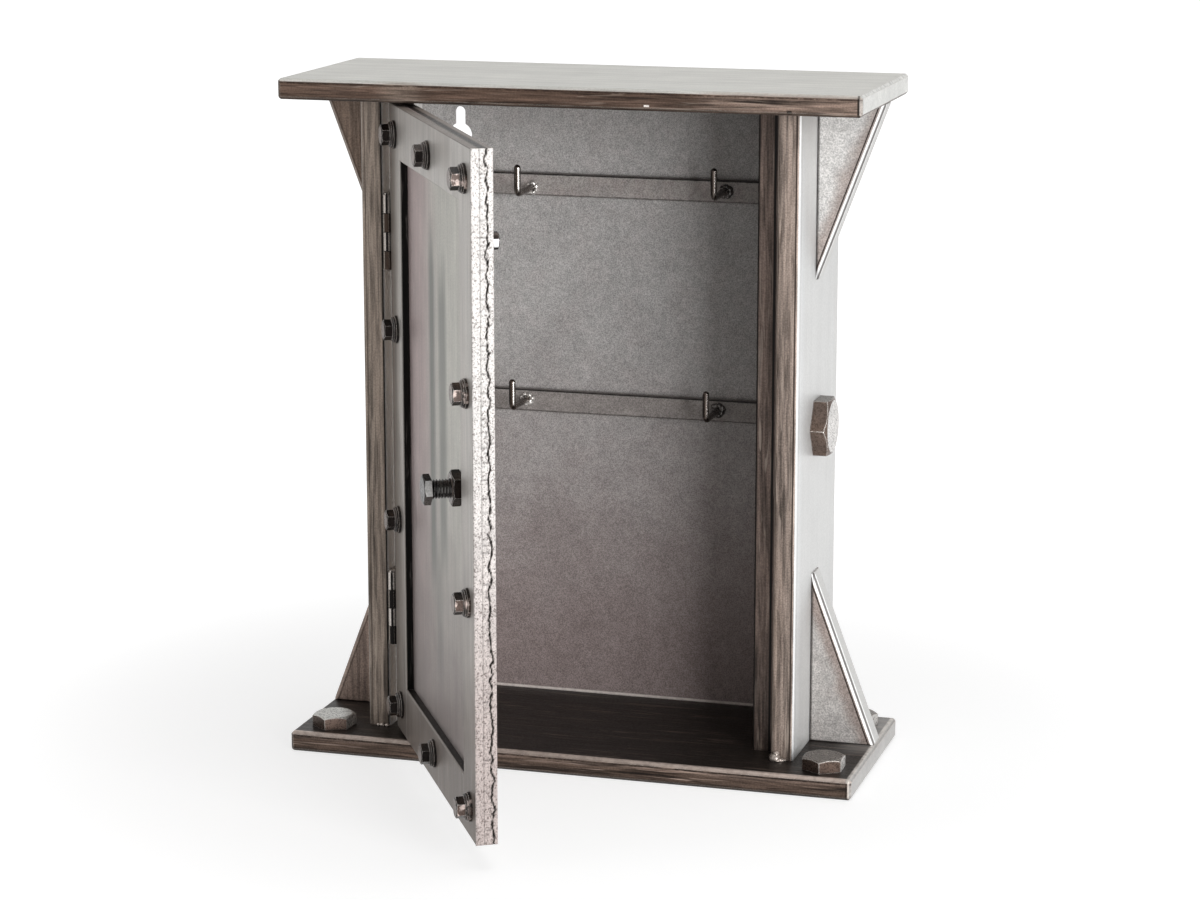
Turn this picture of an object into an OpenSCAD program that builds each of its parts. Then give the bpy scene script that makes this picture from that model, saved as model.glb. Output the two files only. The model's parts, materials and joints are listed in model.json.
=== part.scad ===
// Small steel key cabinet for a wall, styled as a piece of heavy steelwork.
// A folded carcass stands between two thick flange plates, with gussets and
// large hexagon bolts outside, key hooks inside and a bolted door on two butt
// hinges. X runs to the right, Y to the back, Z up. The origin is the centre
// of the underside.

/* [Plates] */
// Overall height of the cabinet
cabinet_h = 300; // [290:1:330]
// Width of the top and base plates
plate_w = 255; // [250:1:280]
// Depth of the top and base plates
plate_d = 97; // [94:1:110]
// Thickness of the top and base plates
plate_t = 9; // [8:0.5:11]
// Bevel along the plates' edges
plate_bevel = 1.2; // [0.4:0.1:2]

/* [Body] */
// Width of the body over its side walls
body_w = 195; // [185:1:197]
// How far the posts stand back from the plates' front edge
front_setback = 20; // [16:1:24]
// Thickness of the folded side walls
sheet_t = 2; // [1.5:0.1:2.4]
// Outer radius of the folds
fold_r = 1.6; // [0.6:0.1:2]
// Width of the posts' front face
post_w = 10; // [9:0.5:12]
// How far the door stop stands back from the posts' front face
stop_setback = 11.8; // [11.8:0.1:13]
// How far the door stop reaches in past the post
stop_w = 10.7; // [10:0.1:13]
// Thickness of the back panel
back_t = 1.5; // [1:0.1:2]

/* [Keyholes] */
// Distance between the two keyholes
keyhole_spacing = 155; // [120:1:156]
// Height of the entry holes' centres
keyhole_z = 266.5; // [200:0.5:267]
// Radius of the entry hole
keyhole_r = 5.5; // [4:0.1:6]
// Width of the slot that takes the screw's shank
keyhole_slot = 4.8; // [4:0.1:6]
// Top of the slot above the entry hole's centre
keyhole_rise = 12.9; // [9:0.1:14]

/* [Key hooks] */
// Height of the upper strip's centre
upper_strip_z = 245.8; // [200:0.1:250]
// Height of the lower strip's centre
lower_strip_z = 146.6; // [100:0.1:160]
// Height of a strip
strip_h = 10.2; // [8:0.1:14]
// Thickness of a strip
strip_t = 2.5; // [2:0.1:4]
// Diameter of the hook rod
rod_d = 3; // [2.5:0.1:4]
// How far a hook stands out from its strip
hook_reach = 23.5; // [16:0.5:28]
// Height of a hook over its bend
hook_rise = 14.6; // [10:0.1:20]
// Distance between the two hooks of a strip
hook_spacing = 90; // [60:1:110]
// How far the upper pair is welded to the right of the centre
upper_hook_shift = 2.3; // [-4:0.1:4]
// How far the lower pair is welded to the right of the centre
lower_hook_shift = -0.6; // [-4:0.1:4]

/* [Gussets and bolts] */
// Width of a gusset along its plate
gusset_w = 29; // [24:0.5:29]
// Height of a gusset along the wall
gusset_h = 76; // [60:0.5:90]
// Thickness of a gusset
gusset_t = 13; // [8:0.5:16]
// Width across flats of the large side bolts
side_bolt_af = 24; // [19:1:27]
// Height of a side bolt's head
side_bolt_h = 7.3; // [6:0.1:10]
// Width across flats of the base bolts
base_bolt_af = 17; // [16:1:19]
// Height of a base bolt's head
base_bolt_h = 5.6; // [5:0.1:7]
// Distance of the base bolts from the plate's edges
base_bolt_inset = 15.2; // [14:0.1:18]

/* [Door] */
// How far the door stands open
door_open = 59.5; // [0:0.5:149]
// Thickness of the front frame
frame_t = 3.4; // [3:0.1:4]
// Thickness of the recessed panel
panel_t = 3.0; // [2.5:0.1:3.5]
// Thickness of the back sheet
door_back_t = 2.6; // [2.5:0.1:3]
// Width of the frame's members
frame_w = 23; // [20:0.5:28]
// Gap above and below the door
door_gap_z = 1.5; // [1:0.1:3]
// Gap at the free edge of the closed door
door_gap_x = 1; // [0.8:0.1:2]
// Distance of the door screws from the door's upright edges
screw_inset = 11.5; // [9:0.1:14]
// Distance of the outer door screws from the door's top and bottom
screw_end = 12.8; // [9:0.1:14]
// Height of the knob's centre
knob_z = 148.2; // [100:0.1:200]
// Distance of the knob's centre from the door's hinge edge
knob_u = 130; // [110:1:134]
// Height of the magnet button's centre
magnet_z = 253.2; // [200:0.1:270]
// How far the magnet button stands out of the door's back
magnet_proud = 2.6; // [1.5:0.1:2.6]

/* [Hinges] */
// Height of the lower hinge's centre
lower_hinge_z = 64.4; // [50:0.1:100]
// Height of the upper hinge's centre
upper_hinge_z = 232.8; // [200:0.1:250]
// Height of a hinge
hinge_h = 33; // [28:1:45]
// Outer diameter of the knuckles
knuckle_d = 4; // [3.6:0.1:4.4]
// Diameter of the hinge pins
pin_d = 2; // [1.5:0.1:2.4]
// Thickness of the hinge leaves
leaf_t = 1; // [0.8:0.1:1]

/* [Hidden] */
$fn = 48;
eps = 0.01;

// Planes of the carcass
plate_front = -plate_d / 2;
plate_back = plate_d / 2;
post_front = plate_front + front_setback;
floor_z = plate_t;
ceiling_z = cabinet_h - plate_t;
wall_h = ceiling_z - floor_z;
wall_x = body_w / 2;
post_inner_x = wall_x - post_w;
stop_y = post_front + stop_setback;
body_mid_y = (post_front + plate_back) / 2;
panel_face_y = plate_back - back_t;
strip_face_y = panel_face_y - strip_t;

// The door, in its closed place
door_t = frame_t + panel_t + door_back_t;
pivot_gap = 0.4;
pivot_x = -post_inner_x + pivot_gap + knuckle_d / 2;
pivot_y = post_front - 0.8;
door_x0 = pivot_x + pivot_gap + knuckle_d / 2;
door_x1 = post_inner_x - door_gap_x;
door_w = door_x1 - door_x0;
door_z0 = floor_z + door_gap_z;
door_z1 = ceiling_z - door_gap_z;
door_h = door_z1 - door_z0;
panel_y = post_front + frame_t;
door_back_y = panel_y + panel_t;
door_rear_y = post_front + door_t;
sheet_edge = 0.35;

// Door screws: flange, head and shank
washer_d = 12;
washer_t = 1.2;
flange_d = 11;
flange_t = 1.4;
screw_af = 8;
screw_h = 3.6;
screw_turn = 30;
screw_d = 5;
screw_len = 8.2;
hole_gap = 0.1;
screw_rows = 4;

// Knob: hexagon bolt screwed into the panel and locked by a thin nut
knob_d = 8;
knob_af = 11;
knob_head_h = 3.2;
knob_turn = 45.6;
knob_bare = 8.2;
knob_nut_af = 13;
knob_nut_h = 4.6;
knob_nut_turn = 38;
knob_x = door_x0 + knob_u;

// Magnet button
magnet_d = 7.2;
magnet_seat = 1.6;
magnet_edge = 4.4;

// Hooks: the left ones were welded on a little out of line
upper_left_drop = 1.6;
lower_left_lift = 0.5;
hook_places = [
    [-hook_spacing / 2 + upper_hook_shift, upper_strip_z - upper_left_drop],
    [hook_spacing / 2 + upper_hook_shift, upper_strip_z],
    [-hook_spacing / 2 + lower_hook_shift, lower_strip_z + lower_left_lift],
    [hook_spacing / 2 + lower_hook_shift, lower_strip_z]
];

// Gussets: height of the blunt ends, bevels and the seam between two layers
gusset_nose = 0.8;
slope_bevel = 1.5;
weld_bevel = 0.5;
seam_y = 2.7;
seam = 0.5;

// Large bolts
side_bolt_d = 16;
side_bolt_z = cabinet_h / 2;
side_nut_h = 6;
base_bolt_d = 10;
base_bolt_len = 7;
base_hole_depth = 7.6;
// Place of each base bolt and how far its head is turned
base_bolt_places = [[-1, -1, 24.5], [-1, 1, 41], [1, -1, 30.5], [1, 1, 17]];

// Hinges
knuckles = 4;
knuckle_gap = 0.3;
knuckle_pitch = hinge_h / knuckles;
bore_gap = 0.05;
leaf_len = 9.5;
pin_head_h = 0.7;
pin_head_d = 2.9;

// Colours
plate_color = [0.43, 0.38, 0.34];
wall_color = [0.52, 0.49, 0.46];
panel_color = [0.42, 0.39, 0.39];
door_color = [0.62, 0.60, 0.57];
bolt_color = [0.5, 0.45, 0.42];
dark_color = [0.18, 0.16, 0.15];
weld_color = [0.7, 0.69, 0.67];

// ---- Shared shapes ----

// Rectangle with its four corners cut off at 45 degrees
module cut_rect(w, h, c) {
    polygon([
        [c, 0], [w - c, 0], [w, c], [w, h - c],
        [w - c, h], [c, h], [0, h - c], [0, c]
    ]);
}

// Block with all twelve edges bevelled, standing at the origin's corner
module bevelled_block(size, c) {
    intersection() {
        linear_extrude(size[2])
            cut_rect(size[0], size[1], c);
        translate([0, size[1], 0])
            rotate([90, 0, 0])
                linear_extrude(size[1])
                    cut_rect(size[0], size[2], c);
        rotate([90, 0, 90])
            linear_extrude(size[0])
                cut_rect(size[1], size[2], c);
    }
}

// Hexagonal prism with one pair of flats across Y, its outer edge rounded
// off by a cone as on a forged bolt head
module hex_head(af, h, chamfer) {
    corner_r = af / sqrt(3);
    intersection() {
        cylinder(h = h, r = corner_r, $fn = 6);
        union() {
            cylinder(h = h - chamfer, r = corner_r + 1);
            translate([0, 0, h - chamfer])
                cylinder(h = chamfer, r1 = corner_r + 0.02, r2 = corner_r - 1.9 * chamfer);
        }
    }
}

// Thin nut, chamfered on both sides
module hex_nut(af, h, bore_d, chamfer) {
    corner_r = af / sqrt(3);
    difference() {
        intersection() {
            cylinder(h = h, r = corner_r, $fn = 6);
            rotate_extrude()
                polygon([
                    [0, 0], [corner_r - 1.9 * chamfer, 0], [corner_r + 0.02, chamfer],
                    [corner_r + 0.02, h - chamfer], [corner_r - 1.9 * chamfer, h], [0, h]
                ]);
        }
        translate([0, 0, -1])
            cylinder(h = h + 2, d = bore_d);
    }
}

// Square cutter along X that takes a 45 degree bevel of width c off an edge
module bevel_cutter(len, c) {
    rotate([45, 0, 0])
        cube([len, c * sqrt(2), c * sqrt(2)], center = true);
}

// Turns what belongs to the door from its closed place to its open one
module on_door() {
    translate([pivot_x, pivot_y, 0])
        rotate([0, 0, -door_open])
            translate([-pivot_x, -pivot_y, 0])
                children();
}

// ---- Carcass ----

module flange_plate() {
    translate([-plate_w / 2, plate_front, 0])
        bevelled_block([plate_w, plate_d, plate_t], plate_bevel);
}

module top_plate() {
    color(plate_color)
        translate([0, 0, ceiling_z])
            flange_plate();
}

module at_base_bolts() {
    x = plate_w / 2 - base_bolt_inset;
    y = plate_d / 2 - base_bolt_inset;
    for (place = base_bolt_places)
        translate([place[0] * x, place[1] * y, floor_z])
            rotate([0, 0, place[2]])
                children();
}

module base_plate() {
    color(plate_color)
        difference() {
            flange_plate();
            at_base_bolts()
                translate([0, 0, -base_hole_depth])
                    cylinder(h = base_hole_depth + 1, d = base_bolt_d + 2 * hole_gap);
        }
}

// Takes a sharp corner off a folded profile. Its sides run along +X and +Y
// before it is turned
module fold_corner(x, y, turn) {
    translate([x, y])
        rotate(turn)
            difference() {
                translate([-1, -1])
                    square(fold_r + 1);
                translate([fold_r, fold_r])
                    circle(fold_r);
            }
}

// One sheet folded four times: wall, post face, rebate and door stop.
// Drawn for the right side
module wall_profile() {
    difference() {
        union() {
            translate([wall_x - sheet_t, post_front])
                square([sheet_t, plate_back - post_front]);
            translate([post_inner_x, post_front])
                square([post_w, sheet_t]);
            translate([post_inner_x, post_front])
                square([sheet_t, stop_setback + sheet_t]);
            translate([post_inner_x - stop_w, stop_y])
                square([stop_w + sheet_t, sheet_t]);
        }
        fold_corner(wall_x, post_front, 90);
        fold_corner(post_inner_x, post_front, 0);
        fold_corner(post_inner_x + sheet_t, stop_y + sheet_t, 180);
    }
}

module side_wall() {
    difference() {
        translate([0, 0, floor_z])
            linear_extrude(wall_h)
                wall_profile();
        translate([wall_x - sheet_t - 1, body_mid_y, side_bolt_z])
            rotate([0, 90, 0])
                cylinder(h = sheet_t + 2, d = side_bolt_d + 2 * hole_gap);
    }
}

module right_side_wall() {
    color(wall_color)
        side_wall();
}

module left_side_wall() {
    color(wall_color)
        mirror([1, 0, 0])
            side_wall();
}

module keyhole_2d() {
    circle(keyhole_r);
    translate([-keyhole_slot / 2, 0])
        square([keyhole_slot, keyhole_rise - keyhole_slot / 2]);
    translate([0, keyhole_rise - keyhole_slot / 2])
        circle(d = keyhole_slot);
}

module back_panel() {
    half_w = wall_x - sheet_t;
    color(panel_color)
        translate([0, plate_back, 0])
            rotate([90, 0, 0])
                linear_extrude(back_t)
                    difference() {
                        translate([-half_w, floor_z])
                            square([2 * half_w, wall_h]);
                        for (side = [-1, 1])
                            translate([side * keyhole_spacing / 2, keyhole_z])
                                keyhole_2d();
                    }
}

module hook_strip(z) {
    strip_w = body_w - 15;
    color(panel_color)
        translate([-strip_w / 2, strip_face_y, z - strip_h / 2])
            bevelled_block([strip_w, strip_t, strip_h], 0.4);
}

module upper_hook_strip() {
    hook_strip(upper_strip_z);
}

module lower_hook_strip() {
    hook_strip(lower_strip_z);
}

// Rod that leaves the strip, bends upwards and ends in a rounded tip
module key_hook(place) {
    x = place[0];
    z = place[1];
    bend_r = 2.6;
    up_y = strip_face_y - hook_reach + rod_d / 2;
    tip_z = z - rod_d / 2 + hook_rise - rod_d / 2;
    color(bolt_color) {
        translate([x, strip_face_y, z])
            rotate([90, 0, 0])
                cylinder(h = strip_face_y - up_y - bend_r, d = rod_d);
        translate([x, up_y + bend_r, z + bend_r])
            rotate([0, 90, 0])
                rotate([0, 0, -90])
                    rotate_extrude(angle = 90)
                        translate([bend_r, 0])
                            circle(d = rod_d);
        translate([x, up_y, z + bend_r])
            cylinder(h = tip_z - z - bend_r, d = rod_d);
        translate([x, up_y, tip_z])
            sphere(d = rod_d);
    }
}

module upper_left_hook() {
    key_hook(hook_places[0]);
}

module upper_right_hook() {
    key_hook(hook_places[1]);
}

module lower_left_hook() {
    key_hook(hook_places[2]);
}

module lower_right_hook() {
    key_hook(hook_places[3]);
}

// Fillet welds round the roots of the hooks
module hook_welds() {
    weld_r = rod_d / 2 + 2;
    weld_h = 2;
    color(weld_color)
        for (place = hook_places)
            translate([place[0], strip_face_y, place[1]])
                rotate([90, 0, 0])
                    difference() {
                        cylinder(h = weld_h, r1 = weld_r, r2 = rod_d / 2 + 0.4);
                        translate([0, 0, -1])
                            cylinder(h = weld_h + 2, d = rod_d);
                    }
}

// ---- Gussets ----

// Right-angled plate, standing at the origin's corner
module gusset_outline() {
    rotate([90, 0, 0])
        translate([0, 0, -gusset_t])
            linear_extrude(gusset_t)
                polygon([
                    [0, 0], [gusset_w, 0], [gusset_w, gusset_nose],
                    [gusset_nose, gusset_h], [0, gusset_h]
                ]);
}

// Cross-section that bevels one edge of the gusset. It reaches from -depth
// to 0 in X and over the gusset's thickness in Y
module bevel_section(depth, c) {
    polygon([
        [-depth, 0], [-c, 0], [0, c], [0, gusset_t - c], [-c, gusset_t], [-depth, gusset_t]
    ]);
}

// The same, with the seam between the gusset's two layers cut into it
module seam_section(depth, c) {
    polygon([
        [-depth, 0], [-c, 0], [0, c], [0, seam_y - seam], [-seam, seam_y], [0, seam_y + seam],
        [0, gusset_t - c], [-c, gusset_t], [-depth, gusset_t]
    ]);
}

// Gusset with bevelled edges, drawn for the base right corner
module gusset() {
    run_x = gusset_w - gusset_nose;
    run_z = gusset_h - gusset_nose;
    slope = atan2(run_x, run_z);
    reach = 120;
    translate([wall_x, body_mid_y - gusset_t / 2, floor_z])
        intersection() {
            gusset_outline();
            // Sloping edge
            translate([gusset_w, 0, gusset_nose])
                rotate([0, -slope, 0])
                    translate([0, 0, -reach / 4])
                        linear_extrude(reach)
                            seam_section(reach, slope_bevel);
            // Weld preparation along the wall
            translate([0, 0, -1])
                linear_extrude(reach)
                    mirror([1, 0])
                        bevel_section(reach, weld_bevel);
            // Weld preparation along the plate
            translate([-1, 0, 0])
                rotate([0, 90, 0])
                    linear_extrude(reach)
                        bevel_section(reach, weld_bevel);
        }
}

module base_right_gusset() {
    color(plate_color)
        gusset();
}

module base_left_gusset() {
    color(plate_color)
        mirror([1, 0, 0])
            gusset();
}

module upside_down() {
    translate([0, 0, cabinet_h])
        mirror([0, 0, 1])
            children();
}

module top_right_gusset() {
    color(plate_color)
        upside_down()
            gusset();
}

module top_left_gusset() {
    color(plate_color)
        upside_down()
            mirror([1, 0, 0])
                gusset();
}

// ---- Bolts of the carcass ----

module base_bolts() {
    color(bolt_color)
        at_base_bolts() {
            hex_head(base_bolt_af, base_bolt_h, 0.9);
            translate([0, 0, -base_bolt_len])
                cylinder(h = base_bolt_len + eps, d = base_bolt_d);
        }
}

module side_bolt() {
    shank_len = sheet_t + side_nut_h + 1.5;
    translate([wall_x, body_mid_y, side_bolt_z])
        rotate([0, 90, 0])
            rotate([0, 0, 90]) {
                hex_head(side_bolt_af, side_bolt_h, 1.3);
                translate([0, 0, -shank_len])
                    cylinder(h = shank_len + eps, d = side_bolt_d);
            }
}

module side_nut() {
    translate([wall_x - sheet_t - side_nut_h, body_mid_y, side_bolt_z])
        rotate([0, 90, 0])
            rotate([0, 0, 90])
                hex_nut(side_bolt_af, side_nut_h, side_bolt_d, 0.8);
}

module right_side_bolt() {
    color(bolt_color)
        side_bolt();
}

module left_side_bolt() {
    color(bolt_color)
        mirror([1, 0, 0])
            side_bolt();
}

module right_side_nut() {
    color(bolt_color)
        side_nut();
}

module left_side_nut() {
    color(bolt_color)
        mirror([1, 0, 0])
            side_nut();
}

// Beads where the posts meet the plates, each a short run of overlapping drops
module post_welds() {
    color(weld_color)
        intersection() {
            for (bead = [
                [post_inner_x + 3.0, floor_z + 0.6, 3.0], [post_inner_x + 5.4, floor_z + 0.4, 2.2],
                [post_inner_x + 3.6, floor_z + 3.0, 2.0], [-post_inner_x - 1.4, floor_z, 1.3],
                [-post_inner_x - 3.6, floor_z, 1.6], [-post_inner_x - 5.6, floor_z, 1.2],
                [post_inner_x + 6.5, ceiling_z, 1.5], [-post_inner_x - 6.5, ceiling_z, 1.5]
            ])
                translate([bead[0], post_front, bead[1]])
                    sphere(bead[2]);
            translate([-wall_x, post_front - 10, floor_z])
                cube([body_w, 10, wall_h]);
        }
}

// ---- Door ----

module at_door_screws() {
    left_x = door_x0 + screw_inset;
    right_x = door_x1 - screw_inset;
    low_z = door_z0 + screw_end;
    high_z = door_z1 - screw_end;
    places = concat(
        [for (x = [left_x, right_x], i = [0:screw_rows - 1])
            [x, low_z + i * (high_z - low_z) / (screw_rows - 1)]],
        [for (z = [low_z, high_z]) [(left_x + right_x) / 2, z]]
    );
    for (place = places)
        translate([place[0], post_front, place[1]])
            rotate([90, 0, 0])
                children();
}

// Holes that the door screws pass, to the given depth behind the front
module screw_holes(depth) {
    at_door_screws()
        translate([0, 0, -depth])
            cylinder(h = depth + 1, d = screw_d + 2 * hole_gap);
}

module door_frame() {
    window_w = door_w - 2 * frame_w;
    window_h = door_h - 2 * frame_w;
    mid_x = (door_x0 + door_x1) / 2;
    mid_z = (door_z0 + door_z1) / 2;
    bevel = 0.5;
    color(door_color)
        on_door()
            difference() {
                translate([door_x0, post_front, door_z0])
                    bevelled_block([door_w, frame_t, door_h], sheet_edge);
                translate([mid_x - window_w / 2, post_front - 1, mid_z - window_h / 2])
                    cube([window_w, frame_t + 2, window_h]);
                for (side = [-1, 1]) {
                    translate([mid_x, post_front, mid_z + side * window_h / 2])
                        bevel_cutter(window_w + bevel, bevel);
                    translate([mid_x + side * window_w / 2, post_front, mid_z])
                        rotate([0, 90, 0])
                            bevel_cutter(window_h + bevel, bevel);
                }
                screw_holes(frame_t + 1);
            }
}

module knob_place(y) {
    translate([knob_x, y, knob_z])
        rotate([90, 0, 0])
            children();
}

module door_panel() {
    color(door_color)
        on_door()
            difference() {
                translate([door_x0, panel_y, door_z0])
                    bevelled_block([door_w, panel_t, door_h], sheet_edge);
                screw_holes(frame_t + panel_t + 1);
                knob_place(panel_y + panel_t + 1)
                    cylinder(h = panel_t + 2, d = knob_d);
            }
}

module door_back() {
    color(door_color)
        on_door()
            difference() {
                translate([door_x0, door_back_y, door_z0])
                    bevelled_block([door_w, door_back_t, door_h], sheet_edge);
                screw_holes(screw_len + 0.2);
                knob_place(door_back_y + 2)
                    cylinder(h = 3, d = knob_d);
                translate([door_x1 - magnet_edge, door_rear_y - magnet_seat, magnet_z])
                    rotate([-90, 0, 0])
                        cylinder(h = magnet_seat + 1, d = magnet_d);
            }
}

module door_washers() {
    color(dark_color)
        on_door()
            at_door_screws()
                difference() {
                    cylinder(h = washer_t, d = washer_d);
                    translate([0, 0, -1])
                        cylinder(h = washer_t + 2, d = screw_d + 4 * hole_gap);
                }
}

module door_screws() {
    color(dark_color)
        on_door()
            at_door_screws() {
                translate([0, 0, washer_t]) {
                    cylinder(h = flange_t * 0.5, d = flange_d);
                    translate([0, 0, flange_t * 0.5])
                        cylinder(h = flange_t * 0.5, d1 = flange_d, d2 = flange_d - 1.4);
                    translate([0, 0, flange_t])
                        rotate([0, 0, screw_turn])
                            hex_head(screw_af, screw_h, 0.5);
                }
                translate([0, 0, -screw_len])
                    cylinder(h = screw_len + washer_t + eps, d = screw_d);
            }
}

module knob_bolt() {
    seat = panel_t + 1.6;
    head_y = knob_nut_h + knob_bare;
    color(bolt_color)
        on_door()
            knob_place(panel_y) {
                translate([0, 0, -seat])
                    cylinder(h = seat + head_y + eps, d = knob_d);
                translate([0, 0, head_y])
                    rotate([0, 0, knob_turn])
                        hex_head(knob_af, knob_head_h, 0.6);
            }
}

module knob_nut() {
    color(bolt_color)
        on_door()
            knob_place(panel_y)
                rotate([0, 0, knob_nut_turn])
                    hex_nut(knob_nut_af, knob_nut_h, knob_d, 0.7);
}

module door_magnet() {
    edge = 0.4;
    color(bolt_color)
        on_door()
            translate([door_x1 - magnet_edge, door_rear_y - magnet_seat, magnet_z])
                rotate([-90, 0, 0]) {
                    cylinder(h = magnet_seat + magnet_proud - edge, d = magnet_d);
                    translate([0, 0, magnet_seat + magnet_proud - edge])
                        cylinder(h = edge, d1 = magnet_d, d2 = magnet_d - 2 * edge);
                }
}

// ---- Hinges ----

// Every second knuckle of a hinge, counted from its top
module knuckle_run(first, bore_d) {
    for (i = [first:2:knuckles - 1])
        translate([pivot_x, pivot_y, hinge_h / 2 - (i + 1) * knuckle_pitch + knuckle_gap / 2])
            difference() {
                cylinder(h = knuckle_pitch - knuckle_gap, d = knuckle_d);
                translate([0, 0, -1])
                    cylinder(h = knuckle_pitch + 2, d = bore_d);
            }
}

// Strap that joins the knuckles to the leaf, kept clear of the other leaf's
module knuckle_straps(first, x, bore_d) {
    for (i = [first:2:knuckles - 1])
        difference() {
            translate([x, pivot_y, hinge_h / 2 - (i + 1) * knuckle_pitch + knuckle_gap / 2])
                cube([leaf_t, knuckle_d / 2 + 1, knuckle_pitch - knuckle_gap]);
            translate([pivot_x, pivot_y, -hinge_h])
                cylinder(h = 2 * hinge_h, d = bore_d);
        }
}

module post_leaf() {
    leaf_x = -post_inner_x;
    leaf_y = pivot_y + knuckle_d / 2 + 0.5;
    knuckle_run(0, pin_d);
    knuckle_straps(0, leaf_x, pin_d);
    translate([leaf_x, leaf_y, -hinge_h / 2])
        cube([leaf_t, leaf_len, hinge_h]);
}

module door_leaf() {
    bore_d = pin_d + 2 * bore_gap;
    leaf_x = door_x0 - leaf_t;
    leaf_y = pivot_y + knuckle_d / 2 + 0.5;
    knuckle_run(1, bore_d);
    knuckle_straps(1, leaf_x, bore_d);
    translate([leaf_x, leaf_y, -hinge_h / 2])
        cube([leaf_t, door_rear_y - leaf_y - 0.5, hinge_h]);
}

module hinge_pin() {
    translate([pivot_x, pivot_y, -hinge_h / 2 - 0.3])
        cylinder(h = hinge_h + 0.3, d = pin_d);
    translate([pivot_x, pivot_y, hinge_h / 2 - knuckle_gap / 2])
        cylinder(h = pin_head_h, d = pin_head_d);
}

module upper_hinge_post_leaf() {
    color(bolt_color)
        translate([0, 0, upper_hinge_z])
            post_leaf();
}

module lower_hinge_post_leaf() {
    color(bolt_color)
        translate([0, 0, lower_hinge_z])
            post_leaf();
}

module upper_hinge_door_leaf() {
    color(dark_color)
        on_door()
            translate([0, 0, upper_hinge_z])
                door_leaf();
}

module lower_hinge_door_leaf() {
    color(dark_color)
        on_door()
            translate([0, 0, lower_hinge_z])
                door_leaf();
}

module upper_hinge_pin() {
    color(weld_color)
        translate([0, 0, upper_hinge_z])
            hinge_pin();
}

module lower_hinge_pin() {
    color(weld_color)
        translate([0, 0, lower_hinge_z])
            hinge_pin();
}

top_plate();
base_plate();
left_side_wall();
right_side_wall();
back_panel();
upper_hook_strip();
lower_hook_strip();
upper_left_hook();
upper_right_hook();
lower_left_hook();
lower_right_hook();
hook_welds();
top_left_gusset();
top_right_gusset();
base_left_gusset();
base_right_gusset();
base_bolts();
left_side_bolt();
right_side_bolt();
left_side_nut();
right_side_nut();
post_welds();
door_frame();
door_panel();
door_back();
door_screws();
door_washers();
knob_bolt();
knob_nut();
door_magnet();
upper_hinge_post_leaf();
upper_hinge_door_leaf();
upper_hinge_pin();
lower_hinge_post_leaf();
lower_hinge_door_leaf();
lower_hinge_pin();
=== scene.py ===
import json
import math

import bmesh
import bpy
from mathutils import Matrix, Vector, noise


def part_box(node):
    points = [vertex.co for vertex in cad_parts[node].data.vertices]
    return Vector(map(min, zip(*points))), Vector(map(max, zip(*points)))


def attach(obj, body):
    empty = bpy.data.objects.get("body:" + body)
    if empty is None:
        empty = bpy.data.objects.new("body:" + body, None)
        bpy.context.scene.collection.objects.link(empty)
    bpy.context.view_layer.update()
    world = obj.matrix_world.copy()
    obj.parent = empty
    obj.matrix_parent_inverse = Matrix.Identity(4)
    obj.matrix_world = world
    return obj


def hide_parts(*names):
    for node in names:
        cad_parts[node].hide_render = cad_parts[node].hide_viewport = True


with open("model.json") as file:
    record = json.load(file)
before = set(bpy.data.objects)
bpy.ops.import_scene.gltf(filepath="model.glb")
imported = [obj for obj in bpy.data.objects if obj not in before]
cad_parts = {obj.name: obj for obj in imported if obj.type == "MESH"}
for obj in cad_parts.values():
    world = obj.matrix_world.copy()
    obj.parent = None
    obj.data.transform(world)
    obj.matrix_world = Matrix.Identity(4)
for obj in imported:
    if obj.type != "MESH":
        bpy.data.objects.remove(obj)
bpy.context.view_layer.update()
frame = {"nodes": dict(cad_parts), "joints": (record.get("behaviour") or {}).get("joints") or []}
cadNodes = frame["nodes"]
print("cabinet frame loaded")


def mm(*values):    # millimetres to metres: one number, or a point
    scaled = [value / 1000 for value in values]
    return scaled[0] if len(scaled) == 1 else Vector(scaled)


# The door is drawn open. doorTurn takes a point from its closed place to its open one
hinge = frame["joints"][0]
doorOpen = math.radians(hinge["range_deg"][1])
hingeLine = Vector((hinge["pos_m"][0], hinge["pos_m"][1], 0))
doorTurn = Matrix.Translation(hingeLine) @ Matrix.Rotation(-doorOpen, 4, "Z") @ Matrix.Translation(-hingeLine)

hookNames = ("upper_left_hook", "upper_right_hook", "lower_left_hook", "lower_right_hook")


def makeCamera():
    view = {
        "place": mm(404.0, -1364.4, 444.3),
        "turn": 16.41,      # degrees to the left of straight ahead
        "tilt": 12.26,      # degrees down
        "lens": 99.03,      # mm
        "sensor": 36,
    }
    data = bpy.data.cameras.new("camera")
    data.lens = view["lens"]
    data.sensor_width = view["sensor"]
    camera = bpy.data.objects.new("camera", data)
    camera.location = view["place"]
    camera.rotation_euler = (math.radians(90 - view["tilt"]), 0, math.radians(view["turn"]))
    bpy.context.scene.collection.objects.link(camera)
    bpy.context.scene.camera = camera
    bpy.context.scene.view_settings.view_transform = "Standard"


def makeLamp(name, lamp):
    data = bpy.data.lights.new(name, "AREA")
    data.shape = "RECTANGLE"
    data.size, data.size_y = lamp["size"]
    data.energy = lamp["power"]
    holder = bpy.data.objects.new(name, data)
    holder.location = lamp["place"]
    holder.rotation_euler = (lamp["aim"] - lamp["place"]).to_track_quat("-Z", "Y").to_euler()
    bpy.context.scene.collection.objects.link(holder)


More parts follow.
